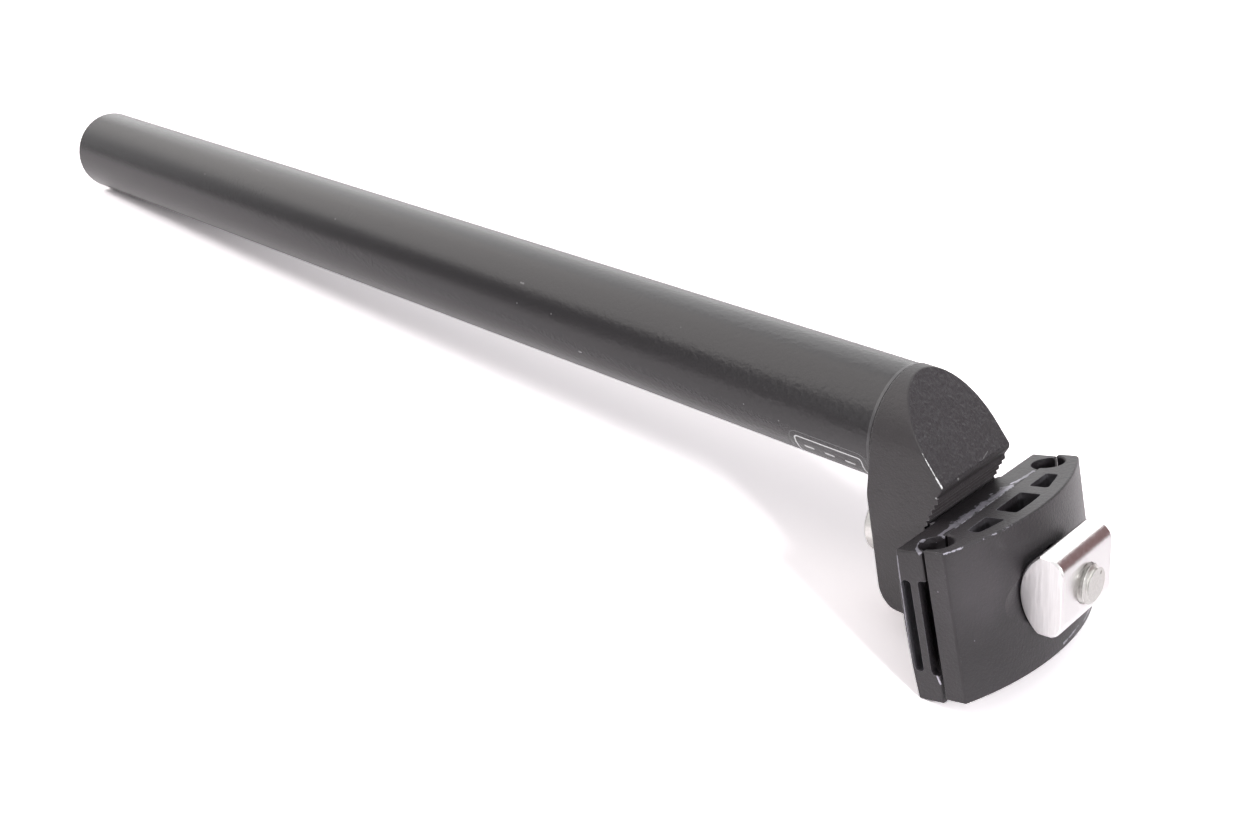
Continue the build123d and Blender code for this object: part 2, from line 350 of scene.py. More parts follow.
    def _painted_recess_light(self) -> bpy.types.NodeTree:
        """Builds painted light in hollows: a lighter colour where ambient occlusion is low, standing in for
        light that reaches inside.

        Returns:
            The group.
        """
        graph, given, result = self._start("Painted recess light", {"Reach": 4 * MM, "Cover": 1.0}, ["Mask"])
        shade = graph.add("ShaderNodeAmbientOcclusion", {"Distance": given.outputs["Reach"]}, samples=6,
                          only_local=True)
        deepest, open_sky = 0.25, 0.85
        deep = graph.ramp(shade.outputs["AO"], deepest, open_sky, 1.0, 0.0)
        graph.feed(result, {"Mask": graph.math("MULTIPLY", deep, given.outputs["Cover"])})
        return graph.tree

    def _outline(self) -> bpy.types.NodeTree:
        """Builds the line round a rectangle with round corners.

        Returns:
            The group.
        """
        inputs = {"U": 0.0, "V": 0.0, "Half U": 5 * MM, "Half V": 3 * MM, "Corner": 1 * MM, "Line": 0.3 * MM}
        graph, given, result = self._start("Rounded outline", inputs, ["Mask"])
        blur = 0.04 * MM
        corner = given.outputs["Corner"]
        over = []
        for name in ("U", "V"):
            room = graph.math("SUBTRACT", given.outputs[f"Half {name}"], corner)
            over.append(graph.math("SUBTRACT", graph.math("ABSOLUTE", given.outputs[name]), room))
        squares = [graph.math("POWER", graph.math("MAXIMUM", value, 0.0), 2.0) for value in over]
        outside = graph.math("SQRT", graph.math("ADD", *squares))
        inside = graph.math("MINIMUM", graph.math("MAXIMUM", *over), 0.0)
        distance = graph.math("ABSOLUTE", graph.math("SUBTRACT", graph.math("ADD", outside, inside), corner))
        gap = graph.math("SUBTRACT", distance, graph.math("MULTIPLY", given.outputs["Line"], 0.5))
        graph.feed(result, {"Mask": graph.ramp(gap, -blur, blur, 1.0, 0.0)})
        return graph.tree


@dataclass(frozen=True)
class PostAxes:
    """Where the tube starts and how it leans, and where the clamps tilt."""

    end: Vector
    along: Vector
    lean: float
    tilt_centre: Vector

    @classmethod
    def read(cls, record: dict, end_chamfer: float = 0.6 * MM) -> "PostAxes":
        """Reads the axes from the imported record.

        Args:
            record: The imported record.
            end_chamfer: Length of the chamfer at the open end, which the shaft mount leaves out.

        Returns:
            The axes.
        """
        shaft = next(mount for mount in record["mounts"] if mount["name"] == "post_shaft")
        down = Vector(shaft["axis"])
        half = shaft["dims"]["length_mm"] * MM / 2
        end = Vector(shaft["pos_m"]) + down * (half + end_chamfer)
        tilt = next(joint for joint in record["behaviour"]["joints"] if joint["name"] == "saddle_tilt")
        return cls(end, -down, math.atan2(-down.z, -down.x), Vector(tilt["pos_m"]))

    def back(self) -> Vector:
        """Gives the direction of the set-back, square to the tube."""
        return Vector((math.sin(self.lean), 0, -math.cos(self.lean)))

    def point(self, reach: float, setback: float, across: float) -> Vector:
        """Gives a point by its place on the post.

        Args:
            reach: Distance from the open end, up the tube.
            setback: Distance behind the tube's axis.
            across: Distance to the right.

        Returns:
            The point.
        """
        return self.end + self.along * reach + self.back() * setback + Vector((0, across, 0))


def blank_graph(owner: Union[bpy.types.Material, bpy.types.World]) -> NodeGraph:
    """Empties the nodes of a material or of the world.

    Args:
        owner: What holds the nodes.

    Returns:
        Its graph, with no nodes yet.
    """
    owner.use_nodes = True
    owner.node_tree.nodes.clear()
    return NodeGraph(owner.node_tree)


def new_material(name: str) -> tuple[bpy.types.Material, NodeGraph, bpy.types.Node]:
    """Starts a material with one Principled shader.

    Args:
        name: Name of the material.

    Returns:
        The material, its graph and its shader.
    """
    material = bpy.data.materials.new(name)
    graph = blank_graph(material)
    shader = graph.add("ShaderNodeBsdfPrincipled")
    graph.add("ShaderNodeOutputMaterial", {"Surface": shader.outputs[0]})
    return material, graph, shader


def place_mesh(mesh_edit: bmesh.types.BMesh, name: str) -> bpy.types.Object:
    """Turns an edited mesh into an object of the scene, at the origin.

    Args:
        mesh_edit: The edited mesh, which is freed.
        name: Name of the mesh and of its object.

    Returns:
        The object.
    """
    mesh = bpy.data.meshes.new(name)
    mesh_edit.to_mesh(mesh)
    mesh_edit.free()
    placed = bpy.data.objects.new(name, mesh)
    bpy.context.scene.collection.objects.link(placed)
    return placed


@dataclass(frozen=True)
class EdgeWear:
    """Wear that breaks through along sharp edges."""

    reach: float
    scale: float
    cover: float
    strength: float

    def mask(self, graph: NodeGraph, effects: Effects, place: Socket) -> Socket:
        """Makes the mask of the wear, which is as high as the wear is strong."""
        inputs = {"Place": place, "Reach": self.reach, "Scale": self.scale, "Cover": self.cover}
        return graph.math("MULTIPLY", graph.group(effects.edge_wear, inputs).outputs["Mask"], self.strength)


@dataclass(frozen=True)
class Specks:
    """Sparse small specks of dust, or pits."""

    scale: float
    share: float
    size: float
    strength: float

    def mask(self, graph: NodeGraph, effects: Effects, place: Socket) -> Socket:
        """Makes the mask of the specks, which is as high as they are strong."""
        inputs = {"Place": place, "Scale": self.scale, "Share": self.share, "Size": self.size}
        return graph.math("MULTIPLY", graph.group(effects.specks, inputs).outputs["Mask"], self.strength)


@dataclass(frozen=True)
class StretchMark:
    """A marked stretch between two points of a piece's own frame, in millimetres; such stretches draw wear,
    chips and painted glints.
    """

    start: Triple
    end: Triple
    width: float
    strength: float = 0.7
    breaks: float = 0.8
    scale: float = 1500.0

    def mask(self, graph: NodeGraph, effects: Effects, place: Socket) -> Socket:
        """Makes the mask of the stretch.

        Args:
            graph: The graph that the nodes go into.
            effects: The shared node groups.
            place: Coordinates in the piece's frame.

        Returns:
            The mask, which is as high as the stretch is strong.
        """
        inputs = {"Place": place, "Start": Vector(self.start) * MM, "End": Vector(self.end) * MM,
                  "Width": self.width * MM, "Scale": self.scale, "Break": self.breaks}
        return graph.math("MULTIPLY", graph.group(effects.stretch_mark, inputs).outputs["Mask"], self.strength)


def joined_marks(graph: NodeGraph, effects: Effects, place: Socket, wear_and_glints: Sequence[StretchMark],
           start: Value = 0.0) -> Socket:
    """Joins several stretch marks, which draw wear, chips and painted glints.

    Args:
        graph: The graph that the nodes go into.
        effects: The shared node groups.
        place: Coordinates in the piece's frame.
        wear_and_glints: The marks, wear and painted glints alike.
        start: A mask that they join.

    Returns:
        The highest of the masks.
    """
    total = start
    for stretch_mark in wear_and_glints:
        total = graph.math("MAXIMUM", total, stretch_mark.mask(graph, effects, place))
    return total


def relief(graph: NodeGraph, height: Socket, depth: Value, edge: float) -> Socket:
    """Makes normals with a fine relief and softened edges.

    Args:
        graph: The graph that the nodes go into.
        height: Height of the relief.
        depth: Depth of the relief.
        edge: Radius to which the edges are softened.

    Returns:
        The normals.
    """
    soft = graph.add("ShaderNodeBevel", {"Radius": edge}, samples=4).outputs[0]
    return graph.add("ShaderNodeBump", {"Strength": 1.0, "Distance": depth, "Height": height,
                                        "Normal": soft}).outputs[0]


@dataclass(frozen=True)
class PrintedFrame:
    """A plain white frame with three dashes, printed on a clear film round the tube."""

    reach: float = 312.2 * MM
    arc: float = -9.6 * MM
    half_length: float = 8.5 * MM
    half_height: float = 4.7 * MM
    corner: float = 0.9 * MM
    line: float = 0.36 * MM
    film_margin: float = 1.4 * MM
    film_line: float = 0.16 * MM
    dash_half: float = 1.1 * MM
    dash_step: float = 5.2 * MM
    dash_arc: float = -7.6 * MM

    def masks(self, graph: NodeGraph, effects: Effects, reach: Socket, arc: Socket) -> tuple[Socket, Socket]:
        """Makes the masks of the print and of the film's rim.

        Args:
            graph: The graph that the nodes go into.
            effects: The shared node groups.
            reach: Distance up the tube.
            arc: Distance round the tube, upwards from its left side.

        Returns:
            The mask of the print and the mask of the rim.
        """
        along = graph.math("SUBTRACT", reach, self.reach)
        around = graph.math("SUBTRACT", arc, self.arc)
        margin = self.film_margin
        frame_sizes = (self.half_length, self.half_height, self.corner, self.line)
        film_sizes = (self.half_length + margin, self.half_height + margin, self.corner + margin,
                      self.film_line)
        dash_sizes = (self.dash_half, self.line / 2, self.line / 4, self.line)
        frame_line = self._outline(graph, effects, along, around, frame_sizes)
        rim = self._outline(graph, effects, along, around, film_sizes)
        level = graph.math("SUBTRACT", arc, self.dash_arc)
        for step in (-1, 0, 1):
            beside = graph.math("SUBTRACT", along, step * self.dash_step)
            dash = self._outline(graph, effects, beside, level, dash_sizes)
            frame_line = graph.math("MAXIMUM", frame_line, dash)
        return frame_line, rim

    @staticmethod
    def _outline(graph: NodeGraph, effects: Effects, along: Socket, around: Socket,
                 sizes: Sequence[float]) -> Socket:
        """Makes the mask of one outline.

        Args:
            graph: The graph that the nodes go into.
            effects: The shared node groups.
            along: Distance from its middle, up the tube.
            around: Distance from its middle, round the tube.
            sizes: Half its length, half its height, its corner radius and its line.

        Returns:
            The mask.
        """
        names = ("Half U", "Half V", "Corner", "Line")
        inputs = {"U": along, "V": around, **dict(zip(names, sizes))}
        return graph.group(effects.outline, inputs).outputs["Mask"]


@dataclass(frozen=True)
class SatinTubeFinish:
    """Black satin tube with fine peel, dust, marks and a printed frame; bare metal in its bore."""

    black: Colour = (0.031, 0.028, 0.031, 1)
    pale: Colour = (0.42, 0.41, 0.43, 1)
    print_white: Colour = (0.95, 0.94, 0.97, 1)
    film: Colour = (0.20, 0.20, 0.21, 1)
    film_strength: float = 0.8
    bore_metal: Colour = (0.50, 0.50, 0.51, 1)
    roughness: float = 0.22
    roughness_swing: float = 0.06
    refraction: float = 1.55
    bore_limit: float = 11.6 * MM
    bore_blur: float = 0.1 * MM
    outer_radius: float = 12.7 * MM
    seam: float = 322.5 * MM
    seam_blur: float = 0.2 * MM
    seam_strength: float = 0.15
    grain_scale: float = 1300.0
    grain_share: float = 0.5
    peel_scale: float = 850.0
    peel_detail: float = 1.5
    peel_roughness: float = 0.45
    peel_run: Range = (190 * MM, 300 * MM)
    peel_share: Range = (0.3, 1.3)
    depth: float = 0.06 * MM
    edge: float = 0.15 * MM
    dust: Specks = Specks(scale=420.0, share=0.12, size=0.14, strength=0.4)
    wear: EdgeWear = EdgeWear(reach=0.35 * MM, scale=700.0, cover=0.35, strength=0.3)
    marks: tuple[StretchMark, ...] = (
        StretchMark((240.3, -12.15, -3.7), (240.9, -12.15, -3.7), 0.22, 0.9, 0.2),
        StretchMark((218.5, -10.0, 7.8), (219.5, -10.0, 7.8), 0.22, 0.35, 0.5),
        StretchMark((96.0, -4.0, 12.05), (99.0, -4.4, 11.9), 0.10, 0.25, 0.6))

    def material(self, effects: Effects, axes: PostAxes) -> bpy.types.Material:
        """Makes the material.

        Args:
            effects: The shared node groups.
            axes: The tube's axes.

        Returns:
            The material.
        """
        material, graph, shader = new_material("satin_tube")
        place = graph.place(axes.end, -axes.lean)
        reach, across, height = graph.add("ShaderNodeSeparateXYZ", {0: place}).outputs
        radius = graph.math("SQRT", graph.math("ADD", graph.math("POWER", across, 2.0),
                                               graph.math("POWER", height, 2.0)))
        bore = graph.ramp(radius, self.bore_limit - self.bore_blur, self.bore_limit, 1.0, 0.0)
        angle = graph.math("ARCTAN2", height, graph.math("MULTIPLY", across, -1.0))
        arc = graph.math("MULTIPLY", angle, self.outer_radius)
        white, rim = PrintedFrame().masks(graph, effects, reach, arc)
        grain = graph.group(effects.grain, {"Place": place, "Scale": self.grain_scale})
        peel = graph.noise(place, self.peel_scale, self.peel_detail, self.peel_roughness)
        pale = joined_marks(graph, effects, place, self.marks, self.dust.mask(graph, effects, place))
        pale = graph.math("MAXIMUM", pale, self.wear.mask(graph, effects, place))
        seam = graph.ramp(reach, self.seam - self.seam_blur, self.seam, 0.0, self.seam_strength)
        colour = graph.mix(graph.math("MAXIMUM", pale, seam), self.black, self.pale)
        colour = graph.mix(graph.math("MULTIPLY", rim, self.film_strength), colour, self.film)
        colour = graph.mix(white, colour, self.print_white)
        colour = graph.mix(bore, colour, self.bore_metal)
        rough = graph.vary(self.roughness, grain.outputs["Tone"], self.roughness_swing)
        wavy = graph.math("MULTIPLY", peel, graph.ramp(reach, *self.peel_run, *self.peel_share))
        surface = graph.math("MULTIPLY_ADD", grain.outputs["Height"], self.grain_share, wavy)
        graph.feed(shader, {"Base Color": colour, "Roughness": rough, "Metallic": bore,
                            "IOR": self.refraction, "Normal": relief(graph, surface, self.depth, self.edge)})
        return material


@dataclass(frozen=True)
class BlastedHeadFinish:
    """Matt black forging with a leathery slanted face, worn along its edges, with a painted glint drawn as
    worn metal on one of them.
    """

    black: Colour = (0.054, 0.047, 0.051, 1)
    slanted_black: Colour = (0.048, 0.043, 0.050, 1)
    # Worn metal colour, laid on real wear and on a painted glint.
    bare_metal_and_glint: Colour = (0.72, 0.72, 0.73, 1)
    deep: Colour = (0.02, 0.02, 0.02, 1)
    tone_share: float = 0.5
    metal_share: float = 0.7
    roughness: float = 0.38
    roughness_swing: float = 0.1
    face_slope: float = math.radians(41.35)
    face_run: Range = (0.93, 0.99)
    grain_scale: float = 1700.0
    grain_depth: float = 0.09 * MM
    wrinkle_scale: float = 800.0
    wrinkle_detail: float = 3.0
    wrinkle_roughness: float = 0.62
    wrinkle_depth: float = 0.60 * MM
    edge: float = 0.25 * MM
    wear: EdgeWear = EdgeWear(reach=0.25 * MM, scale=1100.0, cover=0.40, strength=0.35)
    wear_and_glints: tuple[StretchMark, ...] = (
        # The first two marks are a painted glint, dashed, along the slanted face's left edge, drawn as worn
        # metal.
        StretchMark((-33.0, -12.72, 22.4), (-29.4, -12.82, 18.2), 0.12, 0.7, 1.0, 900.0),
        StretchMark((-29.4, -12.82, 18.2), (-27.9, -12.86, 16.5), 0.15, 0.95, 0.75, 1100.0),
        StretchMark((-29.0, -12.86, 13.9), (-28.6, -12.4, 13.7), 0.18, 0.7, 0.5),
        StretchMark((-28.0, -7.2, 16.3), (-27.9, -7.0, 16.2), 0.22, 0.6, 0.2),
        StretchMark((-27.5, -10.5, 16.6), (-28.6, -9.2, 17.8), 0.10, 0.3, 0.6),
        StretchMark((-27.8, 1.5, 16.6), (-28.5, 5.0, 17.4), 0.10, 0.3, 0.6))

    def material(self, effects: Effects, axes: PostAxes) -> bpy.types.Material:
        """Makes the material.

        Args:
            effects: The shared node groups.
            axes: The tube's axes.

        Returns:
            The material.
        """
        material, graph, shader = new_material("blasted_head")
        place = graph.place(axes.tilt_centre, -axes.lean)
        tilted = axes.lean + self.face_slope
        front = (math.cos(tilted), 0, math.sin(tilted))
        slanted = graph.ramp(graph.facing(front), *self.face_run)
        fine = graph.group(effects.grain, {"Place": place, "Scale": self.grain_scale})
        wrinkle = graph.noise(place, self.wrinkle_scale, self.wrinkle_detail, self.wrinkle_roughness)
        surface = graph.blend(slanted, fine.outputs["Height"], wrinkle)
        depth = graph.blend(slanted, self.grain_depth, self.wrinkle_depth)
        # Worn metal and a painted glint: the edge wear and the listed marks.
        wear_and_glint = joined_marks(graph, effects, place, self.wear_and_glints, self.wear.mask(graph, effects, place))
        base = graph.mix(slanted, self.black, self.slanted_black)
        dark = graph.mix(graph.math("MULTIPLY", fine.outputs["Tone"], self.tone_share), base, self.deep)
        rough = graph.vary(self.roughness, fine.outputs["Tone"], self.roughness_swing)
        graph.feed(shader, {"Base Color": graph.mix(wear_and_glint, dark, self.bare_metal_and_glint), "Roughness": rough,
                            "Metallic": graph.math("MULTIPLY", wear_and_glint, self.metal_share),
                            "Normal": relief(graph, surface, depth, self.edge)})
        return material


# Marks on the lower clamp: the ragged band along its front top edge is wear; the glints noted below are
# painted.
LOWER_WEAR_AND_GLINTS = (StretchMark((-21.5, -12.5, 15.3), (-21.5, 8.5, 15.3), 0.95, 0.5, 0.9, 900.0),
                StretchMark((-21.2, -11.0, 15.3), (-21.4, -1.0, 15.3), 0.70, 0.85, 0.75, 1300.0),
                StretchMark((-21.3, 1.0, 15.3), (-21.1, 8.5, 15.3), 0.55, 0.85, 0.75, 1300.0),
                StretchMark((-21.5, -12.5, 15.3), (-21.6, -17.6, 15.3), 0.45, 0.6, 0.7, 900.0),
                StretchMark((-21.6, -17.6, 15.3), (-20.4, -18.1, 15.0), 0.30, 0.6, 0.5, 900.0),
                StretchMark((-21.2, 8.5, 15.3), (-20.8, 17.0, 15.3), 0.40, 0.6, 0.7, 900.0),
                StretchMark((-22.9, 3.2, 15.3), (-22.8, 3.7, 15.3), 0.20, 0.8, 0.2),
                StretchMark((-21.8, 9.4, 15.3), (-21.3, 12.0, 15.3), 0.25, 1.0, 0.4),
                StretchMark((-20.9, -26.2, 15.3), (-20.8, -25.9, 15.3), 0.45, 0.6, 0.3),
                # Painted glint round the left groove hole's rim, drawn as worn metal.
                StretchMark((-20.9, -26.0, 15.3), (-22.4, -24.6, 15.3), 0.35, 0.6, 0.4),
                StretchMark((-22.4, -24.6, 15.3), (-23.6, -22.0, 15.3), 0.28, 0.6, 0.5),
                StretchMark((-23.6, -21.6, 15.3), (-23.5, -20.6, 15.3), 0.40, 0.95, 0.3),
                # Painted glint at the notch's lower end, drawn as worn metal.
                StretchMark((-21.1, -26.2, -10.6), (-20.5, -26.2, -12.4), 0.18, 0.9, 0.3),
                StretchMark((-26.0, -26.2, 14.0), (-26.5, -26.2, -9.0), 0.12, 0.5, 0.5, 900.0))
# The first three marks are painted glints, dotted along the front arch edge, drawn as worn metal.
UPPER_WEAR_AND_GLINTS = (StretchMark((-15.4, -26.1, 15.75), (-12.4, -19.5, 15.75), 0.20, 0.9, 0.9, 1500.0),
                StretchMark((-12.4, -19.5, 15.75), (-11.1, -14.5, 15.75), 0.15, 0.7, 1.0, 1500.0),
                StretchMark((-11.1, -14.5, 15.75), (-10.1, -9.5, 15.75), 0.12, 0.5, 1.0, 1500.0),
                StretchMark((-9.3, 1.0, -14.6), (-9.9, 8.5, -14.2), 0.20, 0.6, 0.9, 1100.0),
                StretchMark((-10.4, 11.5, -14.8), (-12.0, 18.0, -14.4), 0.24, 0.6, 0.9, 1100.0))
UPPER_CHIPS = (StretchMark((-10.5, 12.0, 6.9), (-10.55, 12.6, 7.3), 0.55, 0.95, 0.6),
               StretchMark((-10.03, 9.5, 8.0), (-10.1, 9.9, 8.4), 0.35, 0.95, 0.6),
               StretchMark((-9.5, 4.0, -13.6), (-10.0, 9.0, -12.4), 0.25, 0.9, 0.6))


@dataclass(frozen=True)
class WornClampFinish:
    """Satin black clamp, worn to bare metal in places, with a few dark chips, a painted sheen, painted light
    in its hollows and painted glints on some edges.
    """

    name: str
    wear_and_glints: tuple[StretchMark, ...]
    # Painted light: the lighter colour laid in the clamp's hollows.
    recess_light_colour: Colour
    chips: tuple[StretchMark, ...] = ()
    black: Colour = (0.030, 0.026, 0.030, 1)
    # Painted sheen: a lighter colour round a point on the clamp, fading out, stands in for a soft highlight.
    painted_sheen: Colour = (0.076, 0.067, 0.075, 1)
    sheen_centre: Triple = (-13.0, -19.0, 8.0)
    sheen_run: Range = (5 * MM, 20 * MM)
    sheen_scale: float = 120.0
    sheen_swing: float = 8 * MM
    # Bare metal colour, laid on real wear and on painted glints along edges.
    bare: Colour = (0.56, 0.54, 0.62, 1)
    chip: Colour = (0.012, 0.010, 0.011, 1)
    tone_share: float = 0.4
    metal_share: float = 0.6
    recess_reach: float = 4 * MM
    recess_cover: float = 0.8
    roughness: float = 0.38
    roughness_swing: float = 0.1
    grain_scale: float = 1600.0
    grain_depth: float = 0.08 * MM
    edge: float = 0.3 * MM
    wear: EdgeWear = EdgeWear(reach=0.3 * MM, scale=900.0, cover=0.5, strength=0.3)
    dust: Specks = Specks(scale=500.0, share=0.10, size=0.13, strength=0.3)

    def material(self, effects: Effects, axes: PostAxes, tilt: float) -> bpy.types.Material:
        """Makes the material.

        Args:
            effects: The shared node groups.
            axes: The tube's axes.
            tilt: Angle of the clamps from the tube.

        Returns:
            The material.
        """
        material, graph, shader = new_material(self.name)
        place = graph.place(axes.tilt_centre, -axes.lean - tilt)
        grain = graph.group(effects.grain, {"Place": place, "Scale": self.grain_scale})
        soft = graph.math("MAXIMUM", self.wear.mask(graph, effects, place),
                          self.dust.mask(graph, effects, place))
        # Worn metal and painted glints: edge wear, dust specks and the listed marks.
        wear_and_glint = joined_marks(graph, effects, place, self.wear_and_glints, soft)
        # Painted sheen: the clamp turns lighter near sheen_centre, with a wavy edge, standing in for a soft
        # highlight.
        gap = graph.vector("DISTANCE", place, Vector(self.sheen_centre) * MM).outputs["Value"]
        sheen_falloff = graph.math("MULTIPLY_ADD", graph.noise(place, self.sheen_scale), self.sheen_swing, gap)
        dark = graph.mix(graph.ramp(sheen_falloff, *self.sheen_run, 1.0, 0.0), self.black, self.painted_sheen)
        dark = graph.mix(graph.math("MULTIPLY", grain.outputs["Tone"], self.tone_share), dark, self.chip)
        # Painted light: hollows are lifted to a lighter colour where ambient occlusion is low.
        recess_light = graph.group(effects.recess_light, {"Reach": self.recess_reach, "Cover": self.recess_cover})
        dark = graph.mix(recess_light.outputs["Mask"], dark, self.recess_light_colour)
        dark = graph.mix(joined_marks(graph, effects, place, self.chips), dark, self.chip)
        rough = graph.vary(self.roughness, grain.outputs["Tone"], self.roughness_swing)
        graph.feed(shader, {"Base Color": graph.mix(wear_and_glint, dark, self.bare), "Roughness": rough,
                            "Metallic": graph.math("MULTIPLY", wear_and_glint, self.metal_share),
                            "Normal": relief(graph, grain.outputs["Height"], self.grain_depth, self.edge)})
        return material


@dataclass(frozen=True)
class BareMetalFinish:
    """Bare or plated metal with drawn lines and small pits."""

    name: str
    metal: Colour
    pit: Colour
    roughness: float
    end_roughness: float
    line_stretch: Triple
    line_depth: float
    edge: float
    spots: tuple[StretchMark, ...] = ()
    line_scale: float = 1800.0
    line_detail: float = 3.0
    line_roughness: float = 0.6
    line_run: Range = (0.35, 0.75)
    line_strength: float = 0.20
    roughness_swing: float = 0.1
    end_run: Range = (0.90, 0.99)
    pits: Specks = Specks(scale=900.0, share=0.06, size=0.2, strength=0.6)

    def material(self, effects: Effects, axes: PostAxes, turn: float) -> bpy.types.Material:
        """Makes the material.

        Args:
            effects: The shared node groups.
            axes: The tube's axes.
            turn: Angle of the piece from the tube.

        Returns:
            The material.
        """
        material, graph, shader = new_material(self.name)
        turned = -axes.lean - turn
        place = graph.place(axes.tilt_centre, turned)
        drawn = graph.place(axes.tilt_centre, turned, self.line_stretch)
        lines = graph.noise(drawn, self.line_scale, self.line_detail, self.line_roughness)
        marked = joined_marks(graph, effects, place, self.spots, self.pits.mask(graph, effects, place))
        toned = graph.mix(graph.ramp(lines, *self.line_run, self.line_strength, 0.0), self.metal, self.pit)
        ends = graph.ramp(graph.math("ABSOLUTE", graph.facing((0, 1, 0))), *self.end_run)
        middle = graph.blend(ends, self.roughness, self.end_roughness)
        rough = graph.vary(middle, lines, self.roughness_swing)
        graph.feed(shader, {"Base Color": graph.mix(marked, toned, self.pit), "Roughness": rough,
                            "Metallic": 1.0, "Normal": relief(graph, lines, self.line_depth, self.edge)})
        return material


BRIGHT_NUT = BareMetalFinish("bright_nut", metal=(0.93, 0.915, 0.92, 1), pit=(0.42, 0.40, 0.40, 1),
                             roughness=0.24, end_roughness=0.42, line_stretch=(1, 1, 16),
                             line_depth=0.034 * MM, edge=0.35 * MM)
DULL_ZINC = BareMetalFinish("dull_zinc", metal=(0.71, 0.70, 0.68, 1), pit=(0.26, 0.25, 0.22, 1),
                            roughness=0.34, end_roughness=0.34, line_stretch=(1, 1, 1),
                            line_depth=0.006 * MM, edge=0.15 * MM,
                            spots=(StretchMark((-0.1, 1.7, 2.0), (-0.1, 1.8, 2.1), 0.34, 0.95, 0.5),))


def finish_node(node: str, body: Body, material: bpy.types.Material) -> None:
    """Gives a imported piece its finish.

    Args:
        node: Name of the piece.
        body: The body that it belongs to.
        material: Its finish.
    """
    slots = frame["nodes"][node].data.materials
    slots.clear()
    slots.append(material)
    log.info("finish %s on %s of %s", material.name, node, body.value)


@dataclass
class Post:
    """The tube and the head that is bonded into it."""

    axes: PostAxes
    tube: SatinTubeFinish = SatinTubeFinish()
    head: BlastedHeadFinish = BlastedHeadFinish()

    def dress(self, effects: Effects) -> None:
        """Gives the tube and the head their finishes."""
        finish_node("post_tube", Body.POST, self.tube.material(effects, self.axes))
        finish_node("clamp_head", Body.POST, self.head.material(effects, self.axes))


@dataclass
class SaddleClamp:
    """The two clamps that tilt together on the head."""

    axes: PostAxes
    tilt: float = math.radians(14.4)
    # Each clamp's third colour is the painted light laid in its hollows.
    lower: WornClampFinish = WornClampFinish("worn_lower_clamp", LOWER_WEAR_AND_GLINTS, (0.12, 0.115, 0.13, 1))
    upper: WornClampFinish = WornClampFinish("worn_upper_clamp", UPPER_WEAR_AND_GLINTS, (0.24, 0.235, 0.26, 1),
                                             UPPER_CHIPS)

    def dress(self, effects: Effects) -> None:
        """Gives the clamps their finishes."""
        for node, finish in (("lower_clamp", self.lower), ("upper_clamp", self.upper)):
            finish_node(node, Body.SADDLE_CLAMP, finish.material(effects, self.axes, self.tilt))


